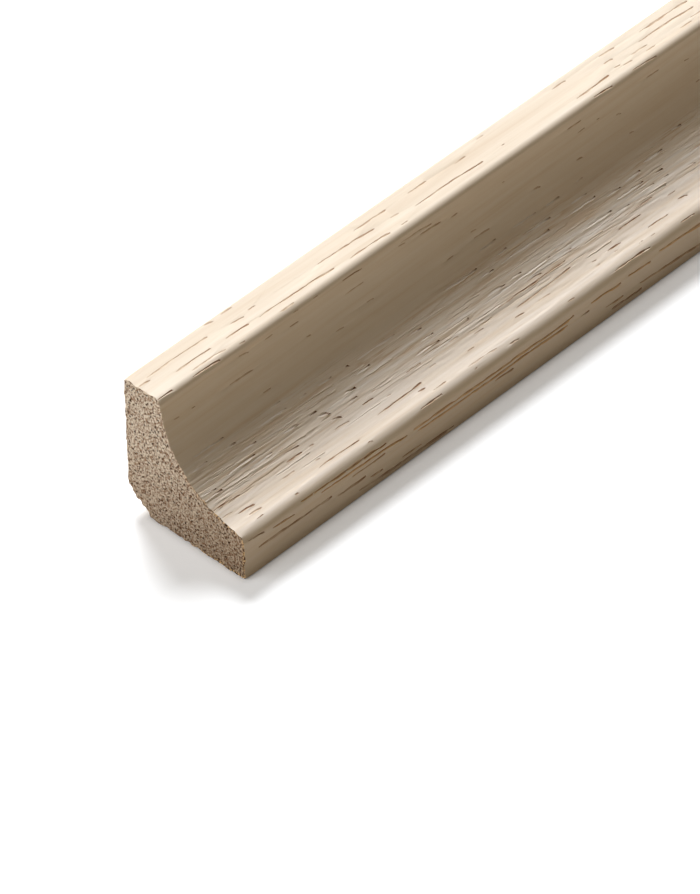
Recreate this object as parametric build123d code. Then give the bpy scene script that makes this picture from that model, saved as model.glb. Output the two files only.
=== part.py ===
from build123d import *
import os

# Scotia moulding: one straight length of wooden trim with a hollow, quarter-round face.
# It covers the joint between a floor and a wall, and it lies on its floor face.
# X runs along the grain, +Y points to the wall and +Z is up. Sizes are in millimetres.
# The origin is in the middle of the length and of the projection, on the floor.

# Driving dimensions
LENGTH = 1000.0  # along the grain, square cut at both ends
PROJECTION = 17.3  # out from the wall, along the floor
HEIGHT = 18.0  # up the wall
COVE_RADIUS = 11.9  # hollow face, centred on the outer top corner of the section
BACK_CHAMFER = 2.9  # keeps the hidden corner clear of what fills the joint
TOP_ARRIS_RADIUS = 0.8  # rounded edge where the cove runs out into the top land
FRONT_ARRIS_RADIUS = 1.4  # softer rounding where the cove runs out into the front land
TOE_RADIUS = 0.3  # light rounding of the front land's bottom edge
WALL_EDGE_EASE = 0.3  # light rounding of the top land's edge at the wall

# Places in the section, as (Y, Z)
WALL_Y = PROJECTION / 2
ROOM_Y = -PROJECTION / 2
HIDDEN_CORNER = (WALL_Y, 0)
OUTER_CORNER = (ROOM_Y, HEIGHT)
WALL_EDGE = (WALL_Y, HEIGHT)
TOE = (ROOM_Y, 0)
TOP_ARRIS = (ROOM_Y + COVE_RADIUS, HEIGHT)
FRONT_ARRIS = (ROOM_Y, HEIGHT - COVE_RADIUS)


def corner_at(outline, place):
    """The outline's corner nearest to the given place."""
    return outline.vertices().sort_by_distance(place)[0]


def section():
    """The moulding's section: a rectangle with the cove cut out of its outer corner."""
    blank = Rectangle(PROJECTION, HEIGHT, align=(Align.CENTER, Align.MIN))
    outline = blank - Pos(*OUTER_CORNER) * Circle(COVE_RADIUS)
    outline = chamfer(corner_at(outline, HIDDEN_CORNER), BACK_CHAMFER)
    rounded = [
        (WALL_EDGE, WALL_EDGE_EASE),
        (TOE, TOE_RADIUS),
        (TOP_ARRIS, TOP_ARRIS_RADIUS),
        (FRONT_ARRIS, FRONT_ARRIS_RADIUS),
    ]
    for place, radius in rounded:
        outline = fillet(corner_at(outline, place), radius)
    return outline


def scotia_moulding():
    """The whole length, run through the moulder in one piece."""
    return extrude(Plane.YZ * section(), LENGTH / 2, both=True)


os.makedirs("parts", exist_ok=True)
export_step(scotia_moulding(), "parts/scotia_moulding.step")
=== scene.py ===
"""One length of wooden scotia: planed faces with open pores and raised grain, and sawn ends."""

import math
from dataclasses import dataclass

import bpy
import numpy as np
from bpy.props import FloatProperty, FloatVectorProperty, IntProperty, PointerProperty
from mathutils import Matrix, Vector, noise
from mathutils.geometry import delaunay_2d_cdt


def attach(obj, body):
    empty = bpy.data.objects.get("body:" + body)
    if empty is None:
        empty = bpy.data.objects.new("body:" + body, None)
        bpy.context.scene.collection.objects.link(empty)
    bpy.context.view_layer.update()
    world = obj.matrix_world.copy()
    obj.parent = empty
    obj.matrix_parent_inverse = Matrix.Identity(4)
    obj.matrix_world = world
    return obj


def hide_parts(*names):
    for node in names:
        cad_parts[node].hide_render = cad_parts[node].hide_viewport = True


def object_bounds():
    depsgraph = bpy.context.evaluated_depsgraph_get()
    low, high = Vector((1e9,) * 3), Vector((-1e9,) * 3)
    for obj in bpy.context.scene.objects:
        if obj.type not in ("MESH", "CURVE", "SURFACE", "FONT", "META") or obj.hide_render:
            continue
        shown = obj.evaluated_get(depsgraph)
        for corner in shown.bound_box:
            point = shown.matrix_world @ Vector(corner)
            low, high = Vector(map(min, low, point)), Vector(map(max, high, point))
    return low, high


bl_info = {
    "name": "Scotia moulding",
    "version": (1, 0, 0),
    "blender": (4, 5, 0),
    "location": "3D View > Sidebar > Scotia",
    "description": "Builds a length of wooden scotia with open pores and sawn ends, and a studio for it",
    "category": "Add Mesh",
}

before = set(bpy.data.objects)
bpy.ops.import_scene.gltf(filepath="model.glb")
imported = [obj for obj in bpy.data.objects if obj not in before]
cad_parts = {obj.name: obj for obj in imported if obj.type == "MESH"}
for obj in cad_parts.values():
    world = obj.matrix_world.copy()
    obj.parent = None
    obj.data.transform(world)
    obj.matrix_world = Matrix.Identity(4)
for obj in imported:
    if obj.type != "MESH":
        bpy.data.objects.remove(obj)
CAD_LOW, CAD_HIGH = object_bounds()
CAD_SIZE = CAD_HIGH - CAD_LOW

MM = 0.001
NODE = "scotia_moulding"
BODY = "root"

# The stretch of the near end whose pores are listed one by one, and the rest, which is scattered
PICKED_STRETCH = 88.0
PICKED_SURFACE = 29.0
# The pores were read off a drawing that was longer, and wider in the cove, by these shares
DRAWN_ALONG = 0.981
DRAWN_COVE = 0.988

# Pores of the photographed stretch, in millimetres: distance of the thin end from the near end,
# distance over the surface from the wall edge, length, drift over that length, and weight.
TOP_PORES = [
    (1.7, 1.75, 9.2, 0.10, 0.55), (0.1, 2.15, 1.7, 0.15, 0.7), (4.4, 3.35, 5.4, 0.15, 0.75),
    (11.8, 0.40, 1.3, 0.25, 0.6), (14.3, 0.45, 1.8, 0.10, 0.6), (16.3, 0.65, 0.8, 0.15, 0.7),
    (11.6, 2.10, 0.8, 0.10, 0.4), (13.8, 2.30, 2.1, 0.15, 0.65), (16.8, 2.05, 1.2, 0.10, 0.6),
    (11.9, 3.50, 3.5, 0.15, 0.95), (18.0, 2.50, 8.1, 0.30, 0.7), (16.8, 3.70, 11.4, 0.35, 0.8),
    (5.8, 4.45, 5.0, 0.20, 0.5), (19.0, 4.75, 2.2, 0.00, 0.5), (27.3, 2.40, 8.6, 0.40, 0.75),
    (28.3, 3.75, 1.4, 0.10, 0.5), (30.4, 4.20, 6.2, 0.20, 0.75), (34.0, 1.40, 5.0, 0.15, 0.6),
    (38.2, 2.85, 1.4, 0.10, 0.35), (38.2, 4.50, 1.1, 0.05, 0.5), (39.6, 4.35, 7.0, 0.25, 0.45),
    (41.5, 3.40, 10.7, 0.35, 0.85), (42.5, 1.40, 3.0, 0.10, 0.6), (49.6, 1.75, 1.9, 0.05, 0.65),
    (51.8, 2.00, 5.9, 0.10, 1.0), (55.4, 3.35, 0.6, 0.10, 0.6), (55.1, 3.75, 0.5, 0.05, 0.35),
    (54.3, 0.70, 1.2, 0.05, 0.4), (66.3, 0.95, 2.3, 0.05, 0.6), (67.0, 4.00, 5.6, -0.10, 0.9),
    (74.1, 0.95, 2.5, 0.10, 0.65), (73.5, 2.15, 1.5, 0.10, 0.65), (73.8, 3.50, 1.0, 0.00, 0.55),
    (75.0, 3.20, 1.2, 0.10, 0.35), (74.8, 3.95, 1.5, 0.10, 0.6), (76.8, 3.30, 2.7, 0.10, 0.5),
    (78.4, 4.10, 1.6, 0.00, 0.4), (79.0, 2.40, 9.0, 0.35, 0.7), (80.3, 1.35, 8.0, 0.15, 0.75),
    (84.0, 4.20, 2.0, 0.10, 0.5), (86.2, 3.75, 2.0, 0.10, 0.5),
]
ARRIS_PORES = [
    (0.1, 5.00, 2.3, 0.10, 1.3), (5.2, 5.15, 4.2, 0.15, 0.9), (12.3, 5.05, 1.0, 0.10, 0.6),
    (68.6, 5.15, 3.1, 0.05, 1.2), (75.0, 5.15, 4.0, 0.20, 0.7), (27.8, 23.35, 3.5, 0.10, 1.2),
    (59.0, 23.50, 5.9, 0.05, 1.2), (36.4, 23.25, 0.6, 0.00, 0.5), (8.5, 22.95, 0.7, 0.15, 0.9),
    (19.8, 23.00, 0.8, 0.20, 0.9), (20.9, 23.25, 0.8, 0.15, 1.0), (42.0, 23.30, 1.6, 0.10, 0.8),
    (51.5, 23.20, 1.2, 0.10, 0.7), (70.0, 23.35, 2.4, 0.10, 0.9),
]
UPPER_COVE_PORES = [
    (20.3, 5.75, 0.9, 0.10, 0.5), (23.4, 5.70, 0.8, 0.05, 0.6), (27.9, 6.05, 3.2, 0.10, 0.9),
    (11.8, 6.45, 1.6, 0.30, 0.6), (15.7, 6.65, 1.4, 0.00, 0.6), (19.5, 7.15, 1.5, 0.10, 0.7),
    (28.0, 7.90, 3.0, 0.05, 0.5), (36.6, 6.65, 1.2, 0.15, 0.6), (37.0, 6.35, 5.0, 0.30, 0.5),
    (40.0, 7.05, 3.4, 0.20, 0.7), (44.8, 7.55, 1.2, 0.05, 0.55), (53.0, 7.65, 0.5, 0.10, 0.6),
    (53.9, 7.35, 0.7, 0.10, 0.6), (63.8, 6.75, 2.4, 0.10, 0.6), (65.2, 8.00, 1.4, 0.05, 0.5),
    (68.4, 8.00, 0.6, 0.10, 0.8), (71.3, 9.05, 0.9, 0.20, 0.7), (76.8, 7.20, 2.2, 0.10, 0.5),
    (82.9, 8.30, 0.9, 0.10, 0.7), (83.6, 11.35, 0.8, 0.10, 0.6), (1.5, 8.50, 0.9, 0.10, 0.5),
    (4.1, 8.60, 0.7, 0.10, 0.7), (9.8, 8.95, 3.7, 0.10, 0.55), (21.4, 9.55, 0.8, 0.15, 0.5),
    (30.5, 10.30, 1.2, 0.10, 0.4), (25.3, 11.05, 1.4, 0.15, 0.4), (26.9, 11.20, 0.8, 0.10, 0.4),
    (13.5, 12.00, 1.3, 0.00, 0.5), (57.0, 10.70, 1.2, 0.20, 0.6), (64.0, 10.80, 1.1, 0.20, 0.6),
    (72.2, 11.85, 0.9, 0.10, 0.5), (46.9, 10.60, 1.0, 0.10, 0.5), (47.0, 11.40, 2.6, 0.10, 0.4),
    (42.5, 11.70, 1.2, 0.00, 0.5),
]
LOWER_COVE_PORES = [
    (2.0, 13.40, 4.6, 0.15, 0.8), (13.4, 13.85, 1.7, 0.00, 0.8), (47.0, 12.95, 2.8, 0.00, 0.8),
    (52.2, 13.00, 4.0, 0.10, 0.5), (57.6, 13.10, 2.4, 0.10, 0.6), (60.4, 13.05, 1.8, 0.10, 0.7),
    (62.8, 12.90, 1.2, 0.00, 0.4), (40.5, 14.35, 5.2, 0.10, 0.9), (46.1, 14.45, 1.4, 0.00, 0.6),
    (48.9, 14.50, 1.6, 0.00, 0.6), (53.6, 14.35, 4.0, 0.15, 1.0), (60.8, 14.55, 2.6, 0.10, 0.6),
    (77.6, 14.30, 1.7, 0.20, 0.8), (0.8, 14.65, 2.5, 0.00, 0.4), (6.3, 14.60, 1.3, 0.20, 0.5),
    (10.8, 14.80, 4.5, 0.05, 0.6), (17.2, 14.80, 1.2, 0.00, 0.4), (20.1, 14.85, 2.2, 0.10, 0.5),
    (24.2, 14.90, 0.7, 0.20, 0.9), (26.0, 15.00, 6.0, 0.10, 0.4), (7.4, 15.85, 2.4, 0.10, 0.9),
    (4.0, 17.00, 4.7, 0.00, 1.0), (13.0, 16.90, 2.4, 0.15, 0.9), (16.8, 16.95, 1.4, 0.10, 0.9),
    (17.9, 17.55, 1.5, 0.55, 1.9), (18.9, 18.65, 1.3, 0.50, 1.9), (0.1, 17.30, 2.2, 0.30, 0.8),
    (0.1, 17.95, 2.7, 0.15, 0.8), (2.4, 18.35, 1.6, 0.40, 0.8), (0.2, 19.30, 3.8, 0.25, 0.9),
    (7.0, 17.85, 3.6, 0.00, 0.5), (11.3, 18.75, 2.4, 0.20, 0.8), (10.9, 19.65, 2.5, 0.05, 1.0),
    (14.4, 19.70, 0.8, 0.05, 0.8), (18.2, 19.80, 2.3, 0.10, 0.6), (0.3, 20.50, 1.5, 0.10, 0.4),
    (2.0, 21.20, 2.4, 0.15, 1.0), (4.6, 21.50, 1.5, 0.00, 0.5), (2.8, 22.05, 1.9, 0.15, 0.8),
    (3.0, 22.95, 1.1, 0.05, 0.7), (13.2, 22.30, 6.3, 0.10, 1.0), (13.6, 21.40, 0.8, 0.10, 0.5),
    (9.0, 20.90, 2.0, 0.00, 0.4), (22.4, 17.20, 1.6, 0.25, 1.3), (24.9, 16.20, 2.3, 0.10, 0.9),
    (28.0, 16.10, 4.0, 0.10, 0.5), (33.6, 16.10, 1.8, 0.15, 0.7), (34.0, 17.35, 2.2, 0.10, 0.9),
    (32.2, 18.30, 4.0, 0.20, 1.0), (35.0, 17.95, 2.2, 0.10, 0.6), (22.2, 18.20, 1.2, 0.10, 0.7),
    (23.0, 19.30, 1.8, 0.10, 1.0), (30.0, 19.25, 2.4, -0.05, 0.8), (39.9, 18.50, 1.1, -0.20, 0.8),
    (39.9, 20.10, 1.6, 0.10, 0.7), (36.8, 19.20, 1.6, 0.10, 0.5), (23.4, 21.25, 7.2, -0.10, 1.0),
    (21.6, 21.00, 1.6, 0.10, 0.8), (29.2, 21.85, 1.2, 0.10, 0.9), (30.6, 22.75, 2.2, 0.00, 0.6),
    (37.6, 21.30, 1.2, 0.00, 0.7), (38.9, 21.50, 1.4, -0.10, 0.8), (32.6, 20.30, 1.2, 0.00, 0.4),
    (26.0, 20.10, 0.8, 0.05, 0.4), (36.0, 22.90, 4.6, 0.20, 0.4), (43.5, 18.05, 11.0, -0.05, 0.6),
    (44.6, 19.30, 11.0, 0.05, 0.9), (46.3, 20.50, 9.2, -0.20, 0.8), (45.2, 15.50, 2.3, 0.10, 1.0),
    (48.6, 15.50, 8.0, 0.10, 0.8), (58.8, 15.45, 5.4, 0.00, 0.9), (44.5, 17.55, 3.0, 0.10, 0.7),
    (48.6, 17.55, 1.6, 0.05, 0.8), (56.4, 18.55, 1.0, 0.00, 0.4), (49.8, 18.80, 2.4, 0.15, 0.6),
    (60.2, 17.80, 4.6, 0.05, 0.9), (64.8, 18.30, 2.4, 0.10, 0.7), (65.5, 19.10, 4.6, 0.10, 0.8),
    (63.5, 20.00, 3.8, 0.05, 1.0), (45.2, 21.40, 1.5, 0.10, 1.0), (49.0, 21.35, 2.0, 0.10, 0.4),
    (60.4, 21.30, 2.2, 0.05, 1.1), (57.8, 21.30, 0.8, 0.05, 0.5), (57.7, 21.95, 0.8, 0.10, 0.4),
    (60.9, 21.85, 0.7, 0.10, 0.4), (63.9, 22.80, 0.8, 0.00, 0.5), (65.8, 22.90, 0.8, 0.00, 0.5),
    (65.3, 16.20, 2.4, 0.10, 0.9), (68.4, 16.00, 2.8, 0.10, 0.8), (66.0, 17.10, 4.6, 0.10, 0.9),
    (72.4, 17.20, 1.4, 0.15, 0.9), (72.0, 15.50, 3.3, 0.00, 1.0), (66.5, 21.85, 3.3, 0.10, 0.9),
    (70.2, 22.00, 0.8, 0.05, 0.8), (72.2, 21.10, 1.5, 0.30, 1.0), (71.6, 20.05, 1.4, 0.05, 0.8),
    (69.0, 18.00, 2.6, 0.10, 0.5), (72.7, 18.10, 1.2, 0.10, 0.5), (76.4, 17.60, 3.5, -0.10, 0.5),
    (76.3, 18.60, 1.4, 0.30, 0.4),
]
# Lines along the front land as (width, gold, points), where gold is 1 for golden fibres and 0 for brown
# ones, and a point is (distance along, distance over the surface)
FRONT_LINES = [
    (1.4, 1.0, [(8.5, 24.0), (14.0, 24.1), (20.0, 24.2), (21.6, 24.3)]),
    (1.4, 1.0, [(11.5, 24.6), (15.0, 24.7), (20.0, 24.85), (22.0, 24.95), (24.8, 25.3)]),
    (1.8, 1.0, [(25.6, 25.1), (30.0, 25.15), (36.0, 25.3), (43.0, 25.25), (48.0, 25.4), (51.0, 25.3)]),
    (1.6, 0.9, [(26.2, 25.7), (30.0, 25.75), (36.0, 25.9), (43.0, 25.85), (48.0, 26.0), (50.0, 25.95)]),
    (2.0, 0.9, [(53.6, 25.2), (57.0, 25.3), (58.6, 25.5)]),
    (2.0, 0.8, [(59.6, 25.2), (63.4, 25.3)]),
    (2.2, 0.9, [(64.6, 24.8), (68.0, 24.9), (71.5, 25.15), (80.0, 25.5)]),
    (1.2, 0.6, [(4.2, 24.65), (6.0, 24.8), (7.6, 25.05)]),
    (1.2, 0.2, [(0.6, 24.1), (2.0, 24.2), (3.1, 24.45)]),
    (1.7, 0.1, [(2.0, 25.9), (5.0, 26.0), (11.0, 26.15), (13.2, 26.3)]),
    (1.8, 0.1, [(13.9, 26.75), (16.0, 26.85), (18.4, 26.9)]),
    (1.5, 0.3, [(18.9, 27.35), (21.0, 27.65)]),
    (1.7, 0.1, [(17.2, 28.2), (20.0, 28.4), (24.0, 28.5), (28.0, 28.55), (32.0, 28.7)]),
    (1.1, 0.4, [(16.2, 25.5), (21.4, 25.55)]),
    (1.5, 0.4, [(38.3, 26.45), (41.5, 26.6)]),
    (1.1, 0.4, [(23.8, 27.85), (27.0, 27.95)]),
    (1.6, 0.0, [(52.0, 26.1), (53.5, 26.2)]),
    (1.8, 0.1, [(57.0, 28.35), (62.0, 28.4)]),
    (1.6, 0.3, [(61.5, 27.4), (66.0, 27.7), (71.5, 28.0), (76.0, 28.2)]),
    (1.2, 0.4, [(56.0, 27.4), (59.0, 27.5)]),
]

# Places closer than this are the same place, in millimetres
TOUCH = 0.0005


def smooth(low, high, value):
    """0 below low, 1 above high, with a soft step between."""
    part = np.clip((np.asarray(value, float) - low) / (high - low), 0.0, 1.0)
    return part * part * (3 - 2 * part)


def ripple(across, along, layer):
    """Smooth noise from -1 to 1 at places that are already scaled."""
    return np.array([noise.noise(Vector((a, b, layer))) for a, b in zip(across, along)])


# Layers of the noise, one for each use, so that no two uses repeat each other
MIDDLE_NOISE = 2.5
WIDTH_NOISE = 6.5
STAIN_NOISE = 9.5
FINE_NOISE = 7.5
BROAD_NOISE = 1.5
STEP_NOISE = 11.5
PATCH_NOISE = 3.5
WAVE_NOISE = 17.5
FINE_TEAR_NOISE = 0.5
BROAD_TEAR_NOISE = 4.5
END_NOISE = 5.0


# Sizes and colours that a user would change


def length_property(name, description, default):
    return FloatProperty(name=name, description=description, default=default, min=0.0, unit="LENGTH")


def colour_property(name, description, default):
    return FloatVectorProperty(
        name=name, description=description, default=default, size=3, min=0.0, max=1.0, subtype="COLOR"
    )


def strength_property(name, description, default):
    return FloatProperty(name=name, description=description, default=default, min=0.0)


def angle_property(name, description, degrees):
    return FloatProperty(name=name, description=description, default=math.radians(degrees), subtype="ANGLE")


class ScotiaSection(bpy.types.PropertyGroup):
    """Sizes of the moulding's section and its length."""

    length: length_property("Length", "Length along the grain", CAD_SIZE.x)
    projection: length_property("Projection", "Width out from the wall", CAD_SIZE.y)
    height: length_property("Height", "Height up the wall", CAD_SIZE.z)
    cove_radius: length_property("Cove radius", "Radius of the hollow face", 11.9 * MM)
    chamfer: length_property("Chamfer", "Size of the hidden corner's chamfer", 2.9 * MM)
    top_arris: length_property("Top arris", "Rounding between the top land and the cove", 0.8 * MM)
    front_arris: length_property("Front arris", "Rounding between the cove and the front land", 1.4 * MM)
    toe: length_property("Toe", "Rounding of the front land's bottom edge", 0.3 * MM)
    wall_edge: length_property("Wall edge", "Easing of the top land's edge at the wall", 0.3 * MM)


class ScotiaGrain(bpy.types.PropertyGroup):
    """Pores, raised grain and the roughness of the cut ends."""

    seed: IntProperty(name="Seed", description="Seed of all scattered pores", default=11, min=0)
    pore_spacing: length_property("Pore spacing", "Side of the square that holds one pore", 3.8 * MM)
    pore_width: length_property("Pore width", "Width of a pore of full weight", 0.22 * MM)
    pore_depth: length_property("Pore depth", "Depth of a pore of full weight", 0.1 * MM)
    raised: length_property("Raised grain", "Height of the raised grain in the cove", 0.2 * MM)
    end_spacing: length_property("End pore spacing", "Distance between the vessels of a cut end", 0.62 * MM)
    ragged: length_property("Ragged edge", "How far the saw broke the edges of the ends", 0.16 * MM)


class ScotiaFinish(bpy.types.PropertyGroup):
    """Colours of the bare wood."""

    body: colour_property("Body", "Planed wood", (0.83, 0.72, 0.59))
    pale: colour_property("Pale streaks", "Lightest streaks of the planed wood", (0.88, 0.79, 0.68))
    tan: colour_property("Tan streaks", "Darkest streaks of the planed wood", (0.66, 0.49, 0.33))
    bare: colour_property("Raised grain", "Wood whose grain was raised", (0.84, 0.75, 0.67))
    # Also the painted highlight on the pale walls of scratches and lifted fibres
    lifted: colour_property("Lifted fibres", "Pale fibres of the raised grain", (0.97, 0.91, 0.84))
    pore: colour_property("Pores", "Inside of the pores", (0.27, 0.11, 0.03))
    # Also the colour of the painted glints on the cut ends' torn fringe
    gold: colour_property("Golden fibres", "Torn fibres at the sides of the pores", (0.84, 0.54, 0.24))
    end_pale: colour_property("End, pale", "Net of fibres on the cut ends", (0.96, 0.86, 0.74))
    end_brown: colour_property("End, brown", "Softer wood of the cut ends", (0.37, 0.22, 0.13))
    # Open cells of the cut ends, and also painted shade in the deepest heads of the planed faces' pores
    end_dark_and_hole_shade: colour_property("End, dark", "Open cells of the cut ends", (0.08, 0.045, 0.025))
    # Painted shade: colour that the cut ends are multiplied by at their foot
    end_foot_shade: colour_property("End, tone", "Tone of the cut ends at their foot", (0.57, 0.50, 0.43))
    roughness: FloatProperty(
        name="Roughness", description="Roughness of the planed faces", default=0.6, min=0.0, max=1.0,
        subtype="FACTOR",
    )


class ScotiaStage(bpy.types.PropertyGroup):
    """Floor, light and camera."""

    floor: colour_property("Floor", "Pale floor as the camera sees it", (0.91, 0.935, 0.97))
    glow: strength_property("Glow", "White that the camera adds to the floor", 0.335)
    bounce: colour_property("Bounce", "Floor as it lights the moulding", (0.515, 0.44, 0.337))
    key: strength_property("Key", "Strength of the key light", 3.3)
    key_size: angle_property("Key size", "Angle that the key light fills", 22.0)
    key_lean: angle_property("Key lean", "Lean of the key light towards the wall", 32.6)
    key_turn: angle_property("Key turn", "Lean of the key light along the moulding", 25.6)
    fill: strength_property("Fill", "Strength of the light on the near end", 1.6)
    fill_size: angle_property("Fill size", "Angle that the fill light fills", 50.0)
    ambient: colour_property("Ambient", "Light from all round", (0.097, 0.077, 0.050))
    azimuth: angle_property("Azimuth", "Turn of the camera round the moulding", -45.469)
    elevation: angle_property("Elevation", "Height of the camera above the horizon", 42.427)
    roll: angle_property("Roll", "Tilt of the camera about its own axis", -1.156)
    distance: length_property("Distance", "Distance of the camera from its aim", 763.60 * MM)
    lens: FloatProperty(name="Lens", description="Focal length in millimetres", default=291.59, min=1.0)
    aim_right: length_property("Aim right", "Aim, to the right of the near end's foot", 17.189 * MM)
    aim_up: length_property("Aim up", "Aim, above the near end's foot", 10.057 * MM)


# Section


class Outline:
    """The section's outline in millimetres, walked round from the foot of the chamfer: up the back,
    over the top land, down the cove and the front land, and home along the floor."""

    ARC_SAMPLES = 160

    def __init__(self, sizes):
        wall = sizes.projection / MM / 2
        room = -wall
        top = sizes.height / MM
        chamfer = sizes.chamfer / MM
        ease = sizes.wall_edge / MM
        cove = sizes.cove_radius / MM
        toe = sizes.toe / MM
        upper = sizes.top_arris / MM
        lower = sizes.front_arris / MM
        reach = math.sqrt((cove + upper) ** 2 - upper**2)
        drop = math.sqrt((cove + lower) ** 2 - lower**2)
        upper_lean = math.atan2(upper, reach)
        lower_lean = math.atan2(lower, drop)
        right = math.pi / 2

        self.along, self.places, self.normals, self.spans = [], [], [], {}
        self.line("chamfer", (wall - chamfer, 0.0), (wall, chamfer))
        self.line("wall", (wall, chamfer), (wall, top - ease))
        self.arc("wall_edge", (wall - ease, top - ease), ease, 0.0, right)
        self.line("top_land", (wall - ease, top), (room + reach, top))
        self.arc("top_arris", (room + reach, top - upper), upper, right, math.pi - upper_lean)
        self.arc("cove", (room, top), cove, -upper_lean, lower_lean - right)
        self.arc("front_arris", (room + lower, top - drop), lower, right + lower_lean, math.pi)
        self.line("front_land", (room, top - drop), (room, toe))
        self.arc("toe", (room + toe, toe), toe, math.pi, 3 * right)
        self.line("floor", (room + toe, 0.0), (wall - chamfer, 0.0))
        self.along = np.array(self.along)
        self.places = np.array(self.places)
        self.normals = np.array(self.normals)
        self.total = self.along[-1]
        self.origin = self.spans["top_land"][0] - ease

    def run(self, name, places, normals):
        """Adds a stretch of the outline under its own name."""
        start = self.along[-1] if self.along else 0.0
        steps = np.linalg.norm(np.diff(places, axis=0), axis=1)
        self.along.extend(start + np.concatenate([[0.0], np.cumsum(steps)]))
        self.places.extend(places)
        self.normals.extend(normals)
        self.spans[name] = (start, self.along[-1])

    def line(self, name, start, end):
        """Adds a straight stretch."""
        places = np.array([start, end])
        run = places[1] - places[0]
        normal = np.array([run[1], -run[0]]) / np.linalg.norm(run)
        self.run(name, places, [normal, normal])

    def arc(self, name, centre, radius, first, last):
        """Adds a round stretch. One that turns backwards is hollow."""
        turn = np.linspace(first, last, self.ARC_SAMPLES)
        spoke = np.column_stack([np.cos(turn), np.sin(turn)])
        outward = 1.0 if last > first else -1.0
        self.run(name, np.array(centre) + radius * spoke, outward * spoke)

    def at(self, across):
        """Places and outward normals in the section, for distances along the outline."""
        place = [np.interp(across, self.along, self.places[:, axis]) for axis in (0, 1)]
        normal = [np.interp(across, self.along, self.normals[:, axis]) for axis in (0, 1)]
        return np.column_stack(place), np.column_stack(normal)


# Pores


@dataclass
class Pore:
    """An open vessel: a torn groove that runs out thin at its start and ends blunt and deep.
    With a depth below zero it is a lifted fibre."""

    start: float
    place: float
    length: float
    drift: float
    width: float
    depth: float
    stain: float
    gold: float
    scratch: float
    keel: float
    step: float
    path: tuple = ()

    # Shares of the drift that come evenly and in the bend, and the share of the length where that starts
    EVEN = 0.45
    BEND = 0.55
    BEND_FROM = 0.6
    # How far the middle wanders, as a share of the width, and over how many millimetres
    WANDER = 0.3
    WANDER_REACH = 0.9
    # Share of the length over which a pore widens, and millimetres over which a long line does
    THIN = 0.3
    LINE_THIN = 1.2
    # Share of the length before its start at which it would have no width
    LEAD = 0.05
    # How fast the noise changes from one pore to the next
    APART = 5.0

    def parts(self):
        """Shares of the length at which the groove has a cross section."""
        count = max(2, round(self.length / self.step))
        return (np.arange(count) + 0.5) / count

    def wander(self, parts, reach, layer):
        """Noise from -1 to 1 along the groove, which changes over the given reach."""
        along = (self.start + self.length * parts) / reach
        return ripple(np.full(len(parts), self.APART * self.place), along, layer)

    def course(self, parts):
        """Distance across of the groove's straight middle, which bends towards its blunt end."""
        if self.path:
            return np.interp(self.start + self.length * parts, *zip(*self.path))
        bend = smooth(self.BEND_FROM, 1.0, parts)
        return self.place + self.drift * (self.EVEN * parts + self.BEND * bend)

    def middle(self, parts):
        """Distance across of the groove's middle as it wanders."""
        wander = self.wander(parts, self.WANDER_REACH, MIDDLE_NOISE)
        return self.course(parts) + self.WANDER * self.width * wander

    def spread(self, parts):
        """Width of the groove as a share of its full width. It runs out thin at its start."""
        thin = self.LINE_THIN / self.length if self.path else self.THIN
        return np.sqrt(smooth(-self.LEAD, thin, parts))


# Where light only grazes the cove, as distances over the surface
SCRATCH_FROM = (12.2, 13.0)
SCRATCH_TO = (17.8, 19.2)
# Pores are broader on the top land, up to this distance
TOP_BROAD = (4.6, 5.4)
# Lowest, likeliest and highest distance over the surface of the fibres that the cutters lifted
FIBRE_SPREAD = (13.2, 16.5, 21.0)
# Their length, their width, and their height as a share of it
FIBRE_LENGTH = (2.5, 9.0)
FIBRE_WIDTH = (0.14, 0.3)
FIBRE_HEIGHT = (0.12, 0.3)
# How pale they are, partly their own pale colour and partly painted highlight, and how far their ridge lies
# aside, as a share of half their width
FIBRE_PALE = 0.5
FIBRE_ASIDE = 0.4
# How often one is tried in the listed stretch and past it
NEAR_FIBRES = 500
FAR_FIBRES = 1600
# How far the grain runs aside over a millimetre along
GRAIN_SLOPE = 0.012
# Strewn pores: mean and spread of the length's logarithm, its limits, mean and spread of the slope
STREWN_LENGTH = (0.9, 0.65)
STREWN_LIMITS = (0.6, 11.0)
STREWN_SLOPE = (0.018, 0.012)
STREWN_WEIGHT = (0.4, 1.0)
# Strewn lines of the front land: length, breadth, golden share and slope, and how far along the next
# one starts, as a share of the length
LINE_LENGTH = (14.0, 40.0)
LINE_BROAD = (1.4, 2.6)
LINE_GOLD = (0.1, 0.3, 0.9, 1.0)
LINE_SLOPE = 0.022
LINE_PITCH = (0.4, 1.1)
# How clear they keep of the front land's top, of its foot and of the far end
LINE_TOP = 0.4
LINE_FOOT = 1.4
LINE_END = 60.0


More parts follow.
